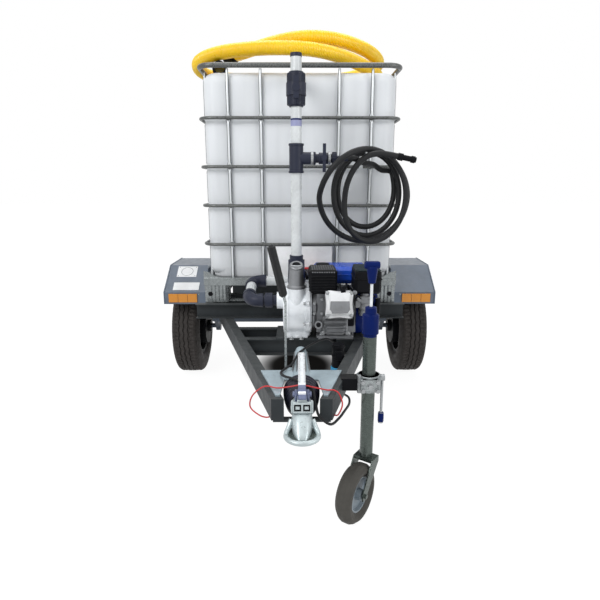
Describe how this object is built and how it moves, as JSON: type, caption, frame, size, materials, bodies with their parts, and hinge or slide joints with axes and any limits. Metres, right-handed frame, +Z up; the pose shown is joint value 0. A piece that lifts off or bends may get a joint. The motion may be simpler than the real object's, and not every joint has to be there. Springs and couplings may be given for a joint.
{
  "type": "wheeled water bowser",
  "caption": "Single-axle towed water bowser: caged water tank on a steel chassis with a drawbar pump set, riser pipework, stowed hoses, overrun coupling and jockey wheel.",
  "frame": {"origin": "on the ground under the middle of the trailer's length and width", "axes": "+X to the right seen from the coupling end, +Y from the coupling to the tail, +Z up"},
  "size_m": [1.594, 2.468, 1.9391],
  "materials": {
    "chassis_paint": "satin",
    "guard_paint": "satin",
    "zinc": "galvanised",
    "bottle_plastic": "translucent white",
    "black_plastic": "satin",
    "dark_pvc": "satin",
    "white_pvc": "gloss",
    "yellow_pvc": "ribbed gloss",
    "black_rubber": "matte",
    "tyre_rubber": "matte",
    "grey_rubber": "matte",
    "cast_alloy": "cast",
    "grey_steel": "machined",
    "pale_paint": "gloss",
    "blue_plastic": "gloss",
    "blue_paint": "gloss",
    "black_paint": "satin",
    "amber_lens": "gloss",
    "red_lens": "gloss",
    "white_plate": "gloss",
    "red_plastic": "gloss",
    "cyan_plastic": "gloss",
    "pale_blue_plastic": "satin"
  },
  "bodies": {
    "trailer": {"side_rails": "chassis_paint", "cross_members": "chassis_paint", "drawbar_legs": "chassis_paint", "axle_beam": "guard_paint", "mudguards": "guard_paint", "front_reflectors": "amber_lens", "rear_lamps": "red_lens", "blank_plates": "white_plate", "pallet_base": "zinc", "pallet_feet": "zinc", "tank_bottle": "bottle_plastic", "cage_rings": "zinc", "cage_uprights": "zinc", "outlet_valve": "black_plastic", "pvc_pipes": "white_pvc", "pvc_fittings": "dark_pvc", "valve_bodies": "dark_pvc", "pump_casing": "cast_alloy", "engine_crankcase": "cast_alloy", "engine_cylinder": "cast_alloy", "rocker_cover": "pale_paint", "muffler": "black_paint", "fuel_tank": "blue_paint", "air_filter": "black_plastic", "carburettor": "cast_alloy", "blower_housing": "blue_plastic", "coupling_housing": "zinc", "bellows": "black_rubber", "jockey_clamp": "black_paint", "plug_holder": "black_plastic", "suction_hose": "yellow_pvc", "suction_couplings": "black_plastic", "delivery_hose": "black_rubber", "delivery_nozzle": "black_plastic", "trailer_cable": "black_rubber", "trailer_plug": "cyan_plastic", "breakaway_cable": "red_plastic"},
    "arm_left": {"arm_left": "guard_paint"},
    "arm_right": {"arm_right": "guard_paint"},
    "wheel_left": {"tyre_left": "tyre_rubber", "wheel_left": "zinc"},
    "wheel_right": {"tyre_right": "tyre_rubber", "wheel_right": "zinc"},
    "tank_lid": {"tank_lid": "black_plastic"},
    "outlet_lever": {"outlet_lever": "red_plastic"},
    "riser_handle": {"riser_handle": "dark_pvc"},
    "branch_handle": {"branch_handle": "dark_pvc"},
    "coupling_head": {"coupling_head": "zinc"},
    "coupling_lever": {"coupling_lever": "zinc"},
    "handbrake_lever": {"handbrake_lever": "zinc"},
    "jockey_tube": {"jockey_outer_tube": "zinc", "jockey_head": "blue_plastic"},
    "jockey_crank": {"jockey_crank": "blue_plastic"},
    "jockey_inner_tube": {"jockey_inner_tube": "zinc"},
    "jockey_fork": {"jockey_fork": "zinc"},
    "jockey_wheel": {"jockey_tyre": "grey_rubber", "jockey_rim": "pale_blue_plastic"},
    "clamp_handle": {"clamp_handle": "grey_steel"},
    "pump_rotor": {"pump_rotor": "grey_steel"},
    "recoil_grip": {"recoil_grip": "black_plastic"}
  },
  "joints": [
    {"name": "left_arm", "type": "hinge", "parent": "trailer", "child": "arm_left", "pos_m": [-0.53, 0.47853, 0.39837], "axis": [1, 0, 0], "range_deg": [-8, 20], "stiffness_Nm_per_rad": 2400, "springref_deg": -3.15},
    {"name": "right_arm", "type": "hinge", "parent": "trailer", "child": "arm_right", "pos_m": [0.53, 0.47853, 0.39837], "axis": [1, 0, 0], "range_deg": [-8, 20], "stiffness_Nm_per_rad": 2400, "springref_deg": -3.15},
    {"name": "left_wheel", "type": "hinge", "parent": "arm_left", "child": "wheel_left", "pos_m": [-0.705, 0.59, 0.298], "axis": [1, 0, 0], "continuous": true},
    {"name": "right_wheel", "type": "hinge", "parent": "arm_right", "child": "wheel_right", "pos_m": [0.705, 0.59, 0.298], "axis": [1, 0, 0], "continuous": true},
    {"name": "lid_turn", "type": "hinge", "parent": "trailer", "child": "tank_lid", "pos_m": [0, 0.55, 1.75], "axis": [0, 0, 1], "range_deg": [0, 540]},
    {"name": "outlet_turn", "type": "hinge", "parent": "trailer", "child": "outlet_lever", "pos_m": [0, -0.082, 0.79], "axis": [0, 0, 1], "range_deg": [-90, 0]},
    {"name": "riser_valve_turn", "type": "hinge", "parent": "trailer", "child": "riser_handle", "pos_m": [-0.018, -0.351, 1.608], "axis": [0, 1, 0], "range_deg": [0, 90]},
    {"name": "branch_valve_turn", "type": "hinge", "parent": "trailer", "child": "branch_handle", "pos_m": [0.104, -0.335, 1.324], "axis": [0, 1, 0], "range_deg": [0, 90]},
    {"name": "overrun_slide", "type": "slide", "parent": "trailer", "child": "coupling_head", "axis": [0, 1, 0], "range_m": [0, 0.05], "stiffness_N_per_m": 3000, "deforming": ["bellows"]},
    {"name": "coupling_lift", "type": "hinge", "parent": "coupling_head", "child": "coupling_lever", "pos_m": [0, -1.128, 0.575], "axis": [1, 0, 0], "range_deg": [0, 45]},
    {"name": "handbrake_swing", "type": "hinge", "parent": "trailer", "child": "handbrake_lever", "pos_m": [-0.058, -0.8, 0.52], "axis": [1, 0, 0], "range_deg": [-50, 0]},
    {"name": "jockey_clamp_slide", "type": "slide", "parent": "trailer", "child": "jockey_tube", "axis": [0, 0, 1], "range_m": [0, 0.13]},
    {"name": "jockey_crank_turn", "type": "hinge", "parent": "jockey_tube", "child": "jockey_crank", "pos_m": [0.24201, -0.9, 0.8], "axis": [0, 0, 1], "range_deg": [0, 6000]},
    {"name": "jockey_screw_slide", "type": "slide", "parent": "jockey_tube", "child": "jockey_inner_tube", "axis": [0, 0, 1], "range_m": [-0.2, 0]},
    {"name": "jockey_swivel", "type": "hinge", "parent": "jockey_inner_tube", "child": "jockey_fork", "pos_m": [0.24201, -0.9, 0.23], "axis": [0, 0, 1], "continuous": true},
    {"name": "jockey_roll", "type": "hinge", "parent": "jockey_fork", "child": "jockey_wheel", "pos_m": [0.19785, -0.96307, 0.11], "axis": [0.8191, -0.5736, 0], "continuous": true},
    {"name": "clamp_screw", "type": "hinge", "parent": "trailer", "child": "clamp_handle", "pos_m": [0.283, -0.9, 0.536], "axis": [1, 0, 0], "continuous": true},
    {"name": "pump_spin", "type": "hinge", "parent": "trailer", "child": "pump_rotor", "pos_m": [0.1, -0.39, 0.666], "axis": [1, 0, 0], "continuous": true},
    {"name": "recoil_pull", "type": "slide", "parent": "trailer", "child": "recoil_grip", "axis": [0, -1, 0], "range_m": [0, 0.3], "stiffness_N_per_m": 60}
  ],
  "couplings": [
    {"joint": "jockey_crank_turn", "follows": "jockey_screw_slide", "rad_per_m": -523.6}
  ]
}
